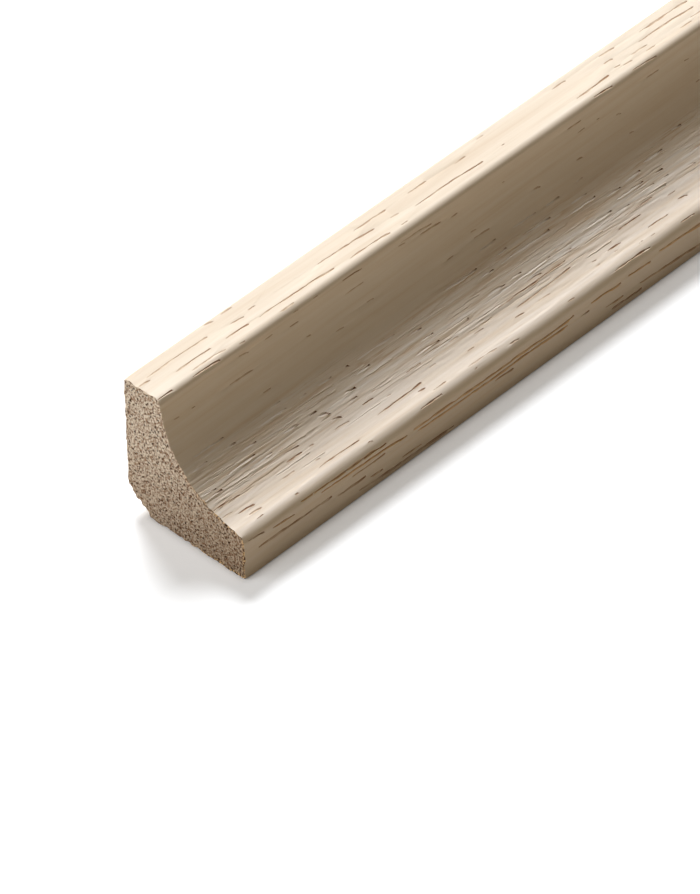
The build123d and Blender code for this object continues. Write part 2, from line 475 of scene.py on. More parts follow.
class PoreField:
    """All pores of the planed faces, kept from running into each other."""

    # Size of the cells that mark what is taken, and how clear pores keep of each other along the grain
    CELL_ACROSS = 0.08
    CELL_ALONG = 0.4
    CLEAR_ALONG = 0.3
    # Length of the pieces that a pore's cells are found by
    PIECE = 1.5
    # Distance between a pore's cross sections, in the listed stretch and past it
    FINE_STEP = 0.28
    COARSE_STEP = 0.9
    # How clear pores keep of the two ends, of the edges of a face and of each other across the grain
    NEAR_CLEAR = 0.05
    FAR_CLEAR = 0.3
    EDGE_CLEAR = 0.35
    PICKED_CLEAR = 0.02
    STREWN_CLEAR = 0.06
    # Width and stain of the lightest pore, as shares of the heaviest one's
    LEAST_WIDTH = 0.55
    LEAST_STAIN = 0.25
    # How much broader scratches and the top land's pores are, and how far a scratch's keel lies aside
    BROADER = 0.4
    KEEL_ASIDE = 0.6

    def __init__(self, outline, length, grain):
        self.outline = outline
        self.length = length
        self.width = grain.pore_width / MM
        self.depth = grain.pore_depth / MM
        self.pores = []
        rows = int(outline.total / self.CELL_ACROSS) + 2
        columns = int(length / self.CELL_ALONG) + 2
        self.taken = np.zeros((rows, columns), bool)

    def windows(self, pore, clear):
        """Cells that a pore covers, piece by piece along it."""
        bounds = np.linspace(0.0, 1.0, 1 + max(1, int(pore.length / self.PIECE)))
        course = pore.course(bounds)
        along = pore.start + pore.length * bounds
        reach = pore.width / 2 + clear
        found = []
        for index in range(len(bounds) - 1):
            ends = course[index:index + 2]
            low = max(0, int((ends.min() - reach) / self.CELL_ACROSS))
            high = int((ends.max() + reach) / self.CELL_ACROSS) + 1
            first = max(0, int((along[index] - self.CLEAR_ALONG) / self.CELL_ALONG))
            last = int((along[index + 1] + self.CLEAR_ALONG) / self.CELL_ALONG) + 1
            found.append((slice(low, high), slice(first, last)))
        return found

    def in_picture(self, along, place):
        """Whether a place lies in the stretch whose pores are listed one by one."""
        return along < PICKED_STRETCH and 0.0 < place - self.outline.origin < PICKED_SURFACE

    def pore(self, start, place, length, drift, weight, broad=1.0, gold=0.25):
        """A pore of the given weight. In grazing light it is a scratch with a dark head, painted pale:
        partly pale torn fibre, partly painted highlight.
        """
        over = place - self.outline.origin
        scratch = smooth(*SCRATCH_FROM, over) * (1 - smooth(*SCRATCH_TO, over))
        top = 1 - smooth(*TOP_BROAD, over)
        share = self.LEAST_WIDTH + (1 - self.LEAST_WIDTH) * weight
        width = broad * self.width * share * (1 + self.BROADER * (scratch + top))
        stain = min(1.0, self.LEAST_STAIN + (1 - self.LEAST_STAIN) * weight)
        step = self.FINE_STEP if self.in_picture(start, place) else self.COARSE_STEP
        depth = self.depth * weight
        keel = self.KEEL_ASIDE * scratch
        return Pore(start, place, length, drift, width, depth, stain, gold, scratch, keel, step)

    def fibre(self, rng, first, last):
        """A fibre that was lifted somewhere between two distances along the moulding."""
        length = rng.uniform(*FIBRE_LENGTH)
        start = rng.uniform(first, last - length)
        place = self.outline.origin + rng.triangular(*FIBRE_SPREAD)
        width = rng.uniform(*FIBRE_WIDTH)
        height = rng.uniform(*FIBRE_HEIGHT) * width
        step = 2 * self.FINE_STEP if self.in_picture(start, place) else 2 * self.COARSE_STEP
        return Pore(
            start, place, length, GRAIN_SLOPE * length, width, -height,
            stain=0.0, gold=0.0, scratch=FIBRE_PALE, keel=-FIBRE_ASIDE, step=step,
        )

    def add(self, pore, clear):
        """Adds a pore, unless it would leave the moulding or run into another one."""
        if pore.start < self.NEAR_CLEAR or pore.start + pore.length > self.length - self.FAR_CLEAR:
            return
        windows = self.windows(pore, clear)
        if any(self.taken[window].any() for window in windows):
            return
        for window in windows:
            self.taken[window] = True
        self.pores.append(pore)

    def add_picked(self, rows, scale=1.0):
        """Adds the pores of a given list, with its distances over the surface scaled."""
        for start, across, length, drift, weight in rows:
            place = self.outline.origin + scale * across
            pore = self.pore(DRAWN_ALONG * start, place, DRAWN_ALONG * length, drift, weight)
            self.add(pore, self.PICKED_CLEAR)

    def add_line(self, broad, gold, points):
        """One long pore along a line, given as (along, distance along the outline)."""
        start, place = points[0]
        end, last = points[-1]
        pore = self.pore(start, place, end - start, last - place, 1.0, broad, gold)
        pore.path = tuple(points)
        self.add(pore, 0.0)

    def scatter(self, name, rng, spacing):
        """Pores strewn over one run of the outline, clear of the part whose pores are listed."""
        start, end = self.outline.spans[name]
        low, high = start + self.EDGE_CLEAR, end - self.EDGE_CLEAR
        count = int((end - start) * self.length / spacing**2)
        for _ in range(count):
            length = float(np.clip(rng.lognormal(*STREWN_LENGTH), *STREWN_LIMITS))
            along = rng.uniform(2 * self.NEAR_CLEAR, self.length - length)
            drift = length * rng.normal(*STREWN_SLOPE)
            place = rng.uniform(low, high)
            weight = rng.uniform(*STREWN_WEIGHT)
            ends = (place, place + drift)
            if low < min(ends) and max(ends) < high and not self.in_picture(along, place):
                self.add(self.pore(along, place, length, drift, weight), self.STREWN_CLEAR)

    def strew_lines(self, rng):
        """Long lines on the front land, one after the other past the listed part."""
        low, high = self.outline.spans["front_land"]
        along = PICKED_STRETCH
        while along < self.length - LINE_END:
            length = rng.uniform(*LINE_LENGTH)
            place = rng.uniform(low + LINE_TOP, high - LINE_FOOT)
            broad = rng.uniform(*LINE_BROAD)
            gold = rng.choice(LINE_GOLD)
            self.add_line(broad, gold, [(along, place), (along + length, place + LINE_SLOPE * length)])
            along += length * rng.uniform(*LINE_PITCH)


def grow_pores(outline, length, grain):
    """Every pore of the planed faces."""
    rng = np.random.default_rng(grain.seed)
    field = PoreField(outline, length, grain)
    for rows in (ARRIS_PORES, TOP_PORES):
        field.add_picked(rows)
    for rows in (UPPER_COVE_PORES, LOWER_COVE_PORES):
        field.add_picked(rows, DRAWN_COVE)
    for broad, gold, points in FRONT_LINES:
        field.add_line(broad, gold, [(along, outline.origin + across) for along, across in points])
    field.strew_lines(rng)
    for name in ("cove", "top_land", "front_land", "wall", "chamfer", "floor"):
        field.scatter(name, rng, grain.pore_spacing / MM)
    near, far = 0.2, length - 0.5
    for first, last, tries in ((near, PICKED_STRETCH, NEAR_FIBRES), (PICKED_STRETCH, far, FAR_FIBRES)):
        for _ in range(tries):
            field.add(field.fibre(rng, first, last), 0.0)
    return field


# Triangles


class Plan:
    """Points and lines on a flattened face, to be joined by triangles."""

    # Kind of output that fills the hull of the points, and the distance at which points become one
    FILL_HULL = 0
    MERGE = 1e-6

    def __init__(self):
        self.points, self.sink, self.tint, self.sunk, self.edges = [], [], [], [], []

    def add(self, across, along, sink=0.0, tint=(0.0, 0.0, 0.0), sunk=False):
        """A point with its tint, as (stain, gold, pale). Triangles round a sunk one belong to a pore."""
        self.points.append((across, along))
        self.sink.append(sink)
        self.tint.append(tint)
        self.sunk.append(sunk)
        return len(self.points) - 1

    def chain(self, points):
        """Edges from each point to the next."""
        self.edges.extend(zip(points, points[1:]))

    def ring(self, points):
        """Edges from each point to the next, and back to the first."""
        self.chain(points + points[:1])

    def triangles(self, stretch):
        """(points, sink, tint, corners, inside) where inside marks the triangles of pores."""
        flat = [Vector((across, along / stretch)) for across, along in self.points]
        made, _, corners, sources, _, _ = delaunay_2d_cdt(
            flat, self.edges, [], self.FILL_HULL, self.MERGE, True
        )
        points = np.array([(v[0], v[1] * stretch) for v in made])
        corners = np.array(corners)
        source = np.array([ids[0] if ids else -1 for ids in sources])
        sink = np.where(source >= 0, np.array(self.sink)[source], 0.0)
        tint = np.where((source >= 0)[:, None], np.array(self.tint)[source], 0.0)
        sunk = np.where(source >= 0, np.array(self.sunk)[source], False)
        return points, sink, tint, corners, sunk[corners].any(axis=1)


# Share of a pore's stain on its two rims, and how far its lower one stands up, as a share of its depth
UPPER_RIM = 0.9
LOWER_RIM = 0.5
LIP = 0.35
SCRATCH_LIP = 0.8
# Distances from a pore's blunt end at which its dark, deep head fades out, and the stain of the rest. The
# head is stained, and the material adds painted shade where it is deepest
HEAD = (0.1, 0.6)
BODY_STAIN = 0.9
# How much broader and deeper the head of a scratch is, and the share of its depth that a pore starts with
HEAD_BROADER = 0.35
HEAD_DEEPER = 2.0
START_DEPTH = 0.4
# Mean, swing and limits of the rims' raggedness and of the stain's wear, and over how many millimetres
RAGGED_MEAN, RAGGED_SWING, RAGGED_LIMITS, RAGGED_REACH = 0.95, 0.9, (0.4, 1.3), 0.6
WORN_MEAN, WORN_LIMITS, WORN_REACH = 0.85, (0.4, 1.0), 0.8
# Shares of a pore's gold, paleness and stain on its rims, its keel, its thin tail and its blunt tip. The
# paleness of scratches and fibres is partly painted highlight, where grazing light would catch them
RIM_GOLD, LIP_GOLD, KEEL_GOLD = 0.5, 1.5, 0.3
KEEL_PALE, TAIL_PALE = 0.6, 0.5
TAIL_STAIN, TIP_STAIN = 0.1, 0.5


def add_pore(plan, pore):
    """Puts a groove's keel and its two torn rims on the plan. The lower rim is lifted."""
    parts = pore.parts()
    along = pore.start + pore.length * parts
    middle = pore.middle(parts)
    head = 1 - smooth(*HEAD, (1 - parts) * pore.length)
    plain = 1 - pore.scratch
    ragged = RAGGED_MEAN + RAGGED_SWING * pore.wander(parts, RAGGED_REACH, WIDTH_NOISE)
    breadth = np.clip(ragged, *RAGGED_LIMITS) * (1 + HEAD_BROADER * head * pore.scratch)
    half = 0.5 * pore.width * breadth * pore.spread(parts)
    worn = np.clip(WORN_MEAN + pore.wander(parts, WORN_REACH, STAIN_NOISE), *WORN_LIMITS)
    dark = pore.stain * np.maximum(BODY_STAIN * plain * worn, head)
    depth = pore.depth * (START_DEPTH + (1 - START_DEPTH) * parts + HEAD_DEEPER * head * pore.scratch)
    lift = (LIP + SCRATCH_LIP * pore.scratch) * np.clip(depth, 0.0, pore.depth) * (1 - head)
    gold = pore.gold * plain
    # Painted highlight, partly real: scratches and lifted fibres are painted pale on their lower rim and
    # keel, where grazing light would catch them
    pale = pore.scratch * (1 - head)
    upper, lower = [], []
    for index, place in enumerate(middle):
        stain = dark[index]
        rim = (UPPER_RIM * stain * (1 - gold), RIM_GOLD * gold, 0.0)
        lip = (LOWER_RIM * stain * (1 - gold), min(1.0, LIP_GOLD * gold), pale[index])
        keel = (stain, KEEL_GOLD * gold, KEEL_PALE * pale[index])
        upper.append(plan.add(place - half[index], along[index], 0.0, rim))
        lower.append(plan.add(place + half[index], along[index], -lift[index], lip))
        plan.add(place - pore.keel * half[index], along[index], depth[index], keel, True)
    tail_tint = (TAIL_STAIN * plain * pore.stain, 0.0, TAIL_PALE * pore.scratch)
    tip_tint = (TIP_STAIN * pore.stain, 0.0, 0.0)
    tail = plan.add(pore.place, pore.start, 0.0, tail_tint)
    tip = plan.add(pore.place + pore.drift, pore.start + pore.length, 0.0, tip_tint)
    plan.ring([tail] + upper + [tip] + lower[::-1])


# Distances between points on the long edges, past the listed stretch and in it, and of the first ones
ROW_STEP = 12.0
NEAR_ROW_STEP = 2.5
FIRST_ROW = 3.0
END_ROWS = (0.5, 1.3)
# Distance between points round the ends, how clear they keep of the long edges, and every how many of
# them there is one across the middle
RIM_STEP = 0.2
RIM_CLEAR = 0.04
MIDDLE_EVERY = 6
# How much longer than wide the triangles of the planed faces are
STRETCH = 8.0
# Facets of each rounded edge, the distance of the guards beside it, and of loose points between pores
ARC_FACETS = (("wall_edge", 4), ("top_arris", 8), ("front_arris", 11), ("toe", 8))
ARC_GUARD = 0.05
LOOSE_STEP = 1.2
# Loose points of the cove as (step across, step along): smooth part, near torn part, far torn part
SMOOTH_GRID = (0.6, 4.8)
NEAR_GRID = (0.105, 1.0)
FAR_GRID = (0.22, 3.3)
# How clear they keep of the ends, of the smooth part's edges and of the torn part's lower one, and how far
# past the listed stretch the far ones start
GRID_INSET = 2.2
SMOOTH_INSET = 0.3
TORN_INSET = 0.2
FAR_INSET = 1.5


def column_rows(length):
    """Distances along the moulding at which the long edges have points."""
    near = list(np.arange(FIRST_ROW, PICKED_STRETCH, NEAR_ROW_STEP))
    count = int((length - PICKED_STRETCH) / ROW_STEP) + 1
    inner = np.linspace(PICKED_STRETCH, length - FIRST_ROW, count)
    ends = [0.0, *END_ROWS]
    return np.array(ends + near + list(inner) + [length - row for row in reversed(ends)])


def column_places(outline):
    """Distances across at which long edges run: every arc's facets, with a guard beside each arc."""
    places = [outline.spans["chamfer"][1]]
    for name, count in ARC_FACETS:
        start, end = outline.spans[name]
        places += [start - ARC_GUARD, *np.linspace(start, end, count + 1), end + ARC_GUARD]
    return np.array(places)


def add_columns(plan, outline, field, rows):
    """Long edges along the arcs. Where a pore lies on one it is broken into loose points."""
    for across in column_places(outline):
        row_cells = field.taken[int(across / field.CELL_ACROSS)]
        previous = plan.add(across, rows[0])
        for start, end in zip(rows, rows[1:]):
            first = int(start / field.CELL_ALONG)
            last = int(end / field.CELL_ALONG) + 1
            clear = not row_cells[first:last].any()
            if not clear:
                for along in np.arange(start + LOOSE_STEP, end - LOOSE_STEP / 2, LOOSE_STEP):
                    if not row_cells[int(along / field.CELL_ALONG)]:
                        plan.add(across, along)
            point = plan.add(across, end)
            if clear:
                plan.chain([previous, point])
            previous = point


def add_grid(plan, field, across_span, along_span, steps):
    """Loose points over part of the cove, staggered from row to row."""
    low, high = across_span
    step_across, step_along = steps
    count = max(2, int(round((high - low) / step_across)))
    step = (high - low) / count
    for index, along in enumerate(np.arange(*along_span, step_along)):
        shift = 0.5 * step * (index % 2)
        for across in np.arange(low + shift, high + TOUCH, step):
            cell = (int(across / field.CELL_ACROSS), int(along / field.CELL_ALONG))
            if not field.taken[cell]:
                plan.add(across, along)


def add_rims(plan, outline, field, rows):
    """Points round both ends and just inside them, and edges along the seam and across the middle."""
    rim = np.linspace(0.0, outline.total, int(outline.total / RIM_STEP) + 1)
    corners = column_places(outline)
    for across in rim[1:-1]:
        if np.abs(corners - across).min() < RIM_CLEAR:
            continue
        for along in (rows[0], rows[-1]):
            plan.add(across, along)
        for along in (rows[1], rows[-2]):
            if not field.taken[int(across / field.CELL_ACROSS), int(along / field.CELL_ALONG)]:
                plan.add(across, along)
    for across in (0.0, outline.total):
        plan.chain([plan.add(across, along) for along in rows])
    plan.chain([plan.add(across, rows[-1] / 2) for across in rim[1:-1:MIDDLE_EVERY]])


# Part of the cove where the cutters raised the grain, as distances over the surface
TORN_FROM = (12.4, 15.0)
TORN_EASE = (18.2, 20.6)
TORN_REST = 0.22
TORN_TO = (22.8, 23.9)
# Front arris, which is wavy by this share of the raised grain
WAVY_FROM = (22.2, 23.2)
WAVY_TO = (24.0, 24.6)
WAVY = 0.15
# Part of the cove where the wood is bare and greyer, and of the front land, where it is more so
BARE_FROM = (16.0, 19.5)
FRONT_FROM = (23.9, 24.6)
FRONT_TO = (27.0, 29.0)
FRONT_BARE = 1.2


def plan_faces(outline, field, length):
    """The whole planed surface, laid flat."""
    plan = Plan()
    rows = column_rows(length)
    for pore in field.pores:
        add_pore(plan, pore)
    add_columns(plan, outline, field, rows)
    start, end = outline.spans["cove"]
    torn = outline.origin + TORN_FROM[0]
    near, far = GRID_INSET, length - GRID_INSET
    smooth_part = (start + SMOOTH_INSET, torn - SMOOTH_INSET)
    torn_part = (torn, end - TORN_INSET)
    add_grid(plan, field, smooth_part, (near, far), SMOOTH_GRID)
    add_grid(plan, field, torn_part, (near, PICKED_STRETCH), NEAR_GRID)
    add_grid(plan, field, torn_part, (PICKED_STRETCH + FAR_INSET, far), FAR_GRID)
    add_rims(plan, outline, field, rows)
    return plan


def torn_share(outline, across):
    """How far the grain was raised at distances along the outline, from 0 to 1."""
    over = across - outline.origin
    eased = 1 - (1 - TORN_REST) * smooth(*TORN_EASE, over)
    return smooth(*TORN_FROM, over) * eased * (1 - smooth(*TORN_TO, over))


def bare_share(outline, across):
    """How bare the wood is at distances along the outline, as a share of the torn cove's bareness."""
    over = across - outline.origin
    front = smooth(*FRONT_FROM, over) * (1 - smooth(*FRONT_TO, over))
    return smooth(*BARE_FROM, over) * (1 - smooth(*TORN_TO, over)) + FRONT_BARE * front


# How far from an end its torn edge reaches, and how much more the saw tore the chamfer
TEAR_REACH = 1.2
CHAMFER_TEAR = 2.2
# Widths of the tear's fine and broad waves, their shares in it, its mean and its most
FINE_TEAR, BROAD_TEAR = 0.55, 2.5
FINE_SHARE, BROAD_SHARE = 0.8, 0.3
TEAR_MEAN, TEAR_MOST = 0.35, 1.3
# Where the noise is read for the near end and for the far one, and for the tear along the grain
NEAR_TEAR, FAR_TEAR = 3.0, 8.0
ALONG_TEAR = 40.0


def build_faces(outline, field, grain, length):
    """Plan, vertices, triangles, pore marks and tint of the planed faces."""
    plan = plan_faces(outline, field, length)
    points, sink, tint, corners, inside = plan.triangles(STRETCH)
    across, along = points[:, 0], points[:, 1]
    places, normals = outline.at(across)
    height = raised_grain(outline, across, along, grain) - sink
    ragged = grain.ragged / MM * np.where(across < outline.spans["chamfer"][1], CHAMFER_TEAR, 1.0)
    tear = rim_tear(across, along, length)
    near = 1 - smooth(0.0, TEAR_REACH, np.minimum(along, length - along))
    height -= ragged * tear * near * near
    shift = ragged * rim_tear(across + ALONG_TEAR, along, length)
    at_start = along < TOUCH
    at_end = along > length - TOUCH
    x = along - length / 2 + np.where(at_start, shift, 0.0) - np.where(at_end, shift, 0.0)
    section = places + normals * height[:, None]
    vertices = np.column_stack([x, section])
    return points, vertices, corners, inside, tint


def rim_tear(across, along, length):
    """How far the saw broke the edge round each end, as a share of the ragged edge's size."""
    end = np.where(along < length / 2, NEAR_TEAR, FAR_TEAR)
    fine = ripple(across / FINE_TEAR, end, FINE_TEAR_NOISE)
    broad = ripple(across / BROAD_TEAR, end, BROAD_TEAR_NOISE)
    return np.clip(TEAR_MEAN + FINE_SHARE * fine + BROAD_SHARE * broad, 0.0, TEAR_MOST)


# Raised grain as (width, length) of its waves and height, as a share of the whole
FINE_RIDGE, FINE_HEIGHT = (0.3, 5.0), 0.45
BROAD_RIDGE, BROAD_HEIGHT = (0.7, 11.0), 0.3
# Scales that lie over each other: waves, steps on each wave, and height
SCALE_RIDGE, SCALE_STEPS, SCALE_HEIGHT = (1.1, 16.0), 4.0, 0.5
# Patches where it is higher or lower: waves, mean, swing and limits
PATCH, PATCH_MEAN, PATCH_SWING, PATCH_LIMITS = (4.0, 22.0), 0.75, 0.9, (0.25, 1.4)
# Waves of the front arris
ARRIS_WAVE = (1.2, 4.0)


def waves(across, along, size, layer):
    """Noise whose waves have the given width across the grain and length along it."""
    width, length = size
    return ripple(across / width, along / length, layer)


def raised_grain(outline, across, along, grain):
    """Ridges that the cutters raised in the lower part of the cove."""
    share = torn_share(outline, across)
    height = np.zeros(len(across))
    used = share > 0
    a, b = across[used], along[used]
    lean = a - GRAIN_SLOPE * b
    fine = waves(lean, b, FINE_RIDGE, FINE_NOISE)
    broad = waves(lean, b, BROAD_RIDGE, BROAD_NOISE)
    scales = SCALE_STEPS * waves(lean, b, SCALE_RIDGE, STEP_NOISE)
    step = scales - np.floor(scales) - 0.5
    patch = np.clip(PATCH_MEAN + PATCH_SWING * waves(a, b, PATCH, PATCH_NOISE), *PATCH_LIMITS)
    ridges = BROAD_HEIGHT * broad + FINE_HEIGHT * fine + SCALE_HEIGHT * step
    height[used] = share[used] * patch * ridges
    over = across - outline.origin
    edge = smooth(*WAVY_FROM, over) * (1 - smooth(*WAVY_TO, over))
    waved = edge > 0
    height[waved] += WAVY * edge[waved] * waves(across[waved], along[waved], ARRIS_WAVE, WAVE_NOISE)
    return height * grain.raised / MM


def weld_seam(outline, points, corners):
    """Corners with the far side of the seam replaced by the near side."""
    target = np.arange(len(points))
    first = {round(points[i, 1], 3): i for i in np.flatnonzero(points[:, 0] < TOUCH)}
    for i in np.flatnonzero(points[:, 0] > outline.total - TOUCH):
        target[i] = first[round(points[i, 1], 3)]
    return target[corners], target


def end_loop(points, target, along):
    """Vertices round one end, in order over the outline."""
    found = np.flatnonzero(np.abs(points[:, 1] - along) < TOUCH)
    ordered = found[np.argsort(points[found, 0])]
    return [int(i) for i in ordered if target[i] == i]


def within(loop, places):
    """Which places lie inside a closed loop of points."""
    y, z = places[:, 0][:, None], places[:, 1][:, None]
    y0, z0 = loop[:, 0], loop[:, 1]
    y1, z1 = np.roll(y0, -1), np.roll(z0, -1)
    spans = (z0 > z) != (z1 > z)
    rise = np.where(z1 == z0, 1.0, z1 - z0)
    crossing = y0 + (z - z0) * (y1 - y0) / rise
    return (np.sum(spans & (y < crossing), axis=1) % 2) == 1


# Vessels of a cut end: places tried, how clear they keep of the rim and, as a share of their spacing, of
# each other, and the share of them that is open
VESSEL_TRIES = 6000
VESSEL_RIM = 0.3
VESSEL_CLEAR = 0.8
VESSEL_OPEN = 0.7
# Sides, radius, stretch and depth of an open one, stain of its rim, and depth of a closed one
PIT_SIDES = 6
PIT_RADIUS = (0.08, 0.15)
PIT_STRETCH = (1.0, 1.6)
PIT_DEPTH = (0.1, 0.25)
PIT_RIM_STAIN = 0.6
CLOSED_DEPTH = 0.03


def vessel_places(loop, spacing, rng):
    """Places on a cut end that keep clear of its rim and of each other."""
    tries = rng.uniform(loop.min(axis=0), loop.max(axis=0), (VESSEL_TRIES, 2))
    kept = []
    for place in tries[within(loop, tries)]:
        if np.hypot(*(loop - place).T).min() < VESSEL_RIM:
            continue
        if kept and np.hypot(*(np.array(kept) - place).T).min() < spacing * VESSEL_CLEAR:
            continue
        kept.append(place)
    return kept


def add_vessel(plan, place, rng):
    """An open vessel: a stretched rim round a dark pit."""
    radius = rng.uniform(*PIT_RADIUS)
    stretch = rng.uniform(*PIT_STRETCH)
    turn = rng.uniform(0, math.pi)
    depth = rng.uniform(*PIT_DEPTH)
    ring = []
    for step in range(PIT_SIDES):
        angle = 2 * math.pi * step / PIT_SIDES
        y = radius * stretch * math.cos(angle)
        z = radius * math.sin(angle)
        across = place[0] + y * math.cos(turn) - z * math.sin(turn)
        up = place[1] + y * math.sin(turn) + z * math.cos(turn)
        ring.append(plan.add(across, up, 0.0, (PIT_RIM_STAIN, 0.0, 0.0)))
    plan.add(*place, depth, (1.0, 0.0, 0.0), True)
    plan.ring(ring)


def plan_end(loop, grain, rng):
    """One cut end in the plane of the section: its rim, open vessels and points between them."""
    plan = Plan()
    plan.ring([plan.add(y, z) for y, z in loop])
    for place in vessel_places(loop, grain.end_spacing / MM, rng):
        if rng.uniform() < VESSEL_OPEN:
            add_vessel(plan, place, rng)
        else:
            plan.add(*place, CLOSED_DEPTH * rng.uniform())
    return plan


# Roughness of a cut end, the size of its waves, and how far its face lies inside the length
END_ROUGH = 0.02
END_WAVE = 0.9
END_INSET = 0.03


def build_end(loop, side, length, grain, rng):
    """Plan, vertices, triangles, pit marks and tint of a cut end. Side is -1 for the near end."""
    plan = plan_end(loop, grain, rng)
    points, sink, tint, corners, inside = plan.triangles(1.0)
    kept = within(loop, points[corners].mean(axis=1))
    corners, inside = corners[kept], inside[kept]
    rough = END_ROUGH * (1 + ripple(*(points / END_WAVE).T, END_NOISE + side))
    x = side * (length / 2 - END_INSET - rough - sink)
    if side < 0:
        corners = corners[:, ::-1]
    return points, np.column_stack([x, points]), corners, inside, tint


# Width of a cut end's torn fringe, whose golden beads are painted highlights of light shining through torn
# fibres, how much of it is lost towards the wall, and between which places
FRINGE = 0.45
FRINGE_LOSS = 0.8
FRINGE_FADE = (-7.0, 3.0)


def fringe_share(places, rim):
    """How near places of a cut end are to its rim, from 0 to 1, fading out towards the wall."""
    distance = np.array([np.hypot(*(rim - place).T).min() for place in places])
    fade = 1 - FRINGE_LOSS * smooth(*FRINGE_FADE, places[:, 0])
    return (1 - smooth(0.0, FRINGE, distance)) * fade


# Bake map: two strips of the planed faces, with the two ends beside each other above them
MAP_MARGIN = 0.004
STRIP_HEIGHT = 0.37
END_SIDE = 0.235


def map_faces(points, outline, length):
    """Map of the planed faces' corners, from (triangle, corner) points of across and along."""
    half = length / 2
    second = points[:, :, 1].mean(axis=1) > half
    along = points[:, :, 1] - np.where(second, half, 0.0)[:, None]
    u = MAP_MARGIN + (1 - 2 * MAP_MARGIN) * along / half
    v = MAP_MARGIN + STRIP_HEIGHT * points[:, :, 0] / outline.total
    v = v + np.where(second, STRIP_HEIGHT + 2 * MAP_MARGIN, 0.0)[:, None]
    return np.stack([u, v], axis=-1)


def map_end(points, low, size, place):
    """Map of a cut end's corners into its square."""
    u = MAP_MARGIN + place * (END_SIDE + 2 * MAP_MARGIN) + END_SIDE * (points[:, :, 0] - low[0]) / size
    v = 1 - MAP_MARGIN - END_SIDE + END_SIDE * (points[:, :, 1] - low[1]) / size
    return np.stack([u, v], axis=-1)


# Material slots, and the bend from which an edge is drawn sharp
PLANED, SAWN = 0, 1
SHARP_ANGLE = math.radians(28)


def mark_sharp(mesh, corners, vertices):
    """Keeps creases crisp: edges whose two faces meet at more than a set angle."""
    a, b, c = (vertices[corners[:, i]] for i in range(3))
    normal = np.cross(b - a, c - a)
    normal /= np.maximum(np.linalg.norm(normal, axis=1), 1e-20)[:, None]
    edge_of = np.empty(len(mesh.loops), np.int32)
    mesh.loops.foreach_get("edge_index", edge_of)
    face_of = np.arange(len(edge_of)) // 3
    order = np.argsort(edge_of, kind="stable")
    edges, faces = edge_of[order], face_of[order]
    pairs = np.flatnonzero(edges[1:] == edges[:-1])
    bend = np.sum(normal[faces[pairs]] * normal[faces[pairs + 1]], axis=1)
    sharp = np.zeros(len(mesh.edges), bool)
    sharp[edges[pairs[bend < math.cos(SHARP_ANGLE)]]] = True
    mesh.attributes.new("sharp_edge", "BOOLEAN", "EDGE").data.foreach_set("value", sharp)


# What each corner carries for the materials
MARKS = ("pore", "gold", "pale", "rough", "bare")


@dataclass
class Skin:
    """Part of the mesh: its vertices, its triangles, and their map, marks and material slot."""

    vertices: np.ndarray
    corners: np.ndarray
    uv: np.ndarray
    marks: np.ndarray
    slot: int


def mesh_object(name, skins, materials):
    """A closed mesh in the row frame, from its parts, with its bake map, marks and materials."""
    corners = np.vstack([skin.corners for skin in skins])
    used, packed = np.unique(corners, return_inverse=True)
    corners = packed.reshape(corners.shape)
    vertices = np.vstack([skin.vertices for skin in skins])[used]
    uv = np.concatenate([skin.uv for skin in skins])
    marks = np.concatenate([skin.marks for skin in skins])
    slots = np.concatenate([np.full(len(skin.corners), skin.slot, np.int32) for skin in skins])
    mesh = bpy.data.meshes.new(name)
    mesh.from_pydata((vertices * MM).tolist(), [], corners.tolist())
    mesh.polygons.foreach_set("use_smooth", np.ones(len(corners), bool))
    mesh.polygons.foreach_set("material_index", slots)
    mark_sharp(mesh, corners, vertices)
    mesh.uv_layers.new(name="OFBake").data.foreach_set("uv", uv.reshape(-1))
    for index, key in enumerate(MARKS):
        values = np.ascontiguousarray(marks[:, :, index]).reshape(-1)
        mesh.attributes.new(key, "FLOAT", "CORNER").data.foreach_set("value", values)
    for material in materials:
        mesh.materials.append(material)
    mesh.update()
    made = bpy.data.objects.new(name, mesh)
    bpy.context.scene.collection.objects.link(made)
    return made


def corner_marks(tint, inside, shares, corners):
    """Marks of each triangle's corners. Only triangles inside pores are tinted."""
    tinted = np.where(inside[:, None, None], tint[corners], 0.0)
    return np.concatenate([tinted, shares[corners]], axis=2)


def sawn_skin(rim, loop, side, section, grain, rng, count):
    """One cut end. Its rim's vertices are the planed faces' own, and the rest is numbered from count."""
    size = max(section.projection, section.height) / MM
    flat, vertices, faces, pits, tint = build_end(rim, side, section.length / MM, grain, rng)
    shares = np.column_stack([fringe_share(flat, rim), np.zeros(len(flat))])
    number = np.arange(len(flat)) + count
    nearest = [np.argmin(np.hypot(*(flat - point).T)) for point in rim]
    number[nearest] = loop
    uv = map_end(flat[faces], (-size / 2, 0.0), size, int(side > 0))
    return Skin(vertices, number[faces], uv, corner_marks(tint, pits, shares, faces), SAWN)


def build_moulding(section, grain, finish):
    """The whole length as one closed mesh."""
    outline = Outline(section)
    length = section.length / MM
    rng = np.random.default_rng(grain.seed + 1)
    field = grow_pores(outline, length, grain)
    points, vertices, corners, inside, tint = build_faces(outline, field, grain, length)
    shares = np.column_stack([torn_share(outline, points[:, 0]), bare_share(outline, points[:, 0])])
    uv = map_faces(points[corners], outline, length)
    marks = corner_marks(tint, inside, shares, corners)
    welded, target = weld_seam(outline, points, corners)
    skins = [Skin(vertices, welded, uv, marks, PLANED)]
    for side, along in ((-1, 0.0), (1, length)):
        loop = end_loop(points, target, along)
        rim = vertices[loop][:, 1:]
        count = sum(len(skin.vertices) for skin in skins)
        skins.append(sawn_skin(rim, loop, side, section, grain, rng, count))
    return mesh_object("planed_scotia", skins, [planed_material(finish), sawn_material(finish)])


# Materials


def feed(tree, socket, value):
    """Links a socket to another one, or sets its own value. A colour is given without its alpha."""
    if isinstance(value, bpy.types.NodeSocket):
        tree.links.new(value, socket)
    elif socket.type == "RGBA":
        socket.default_value = (*value, 1.0)
    else:
        socket.default_value = value


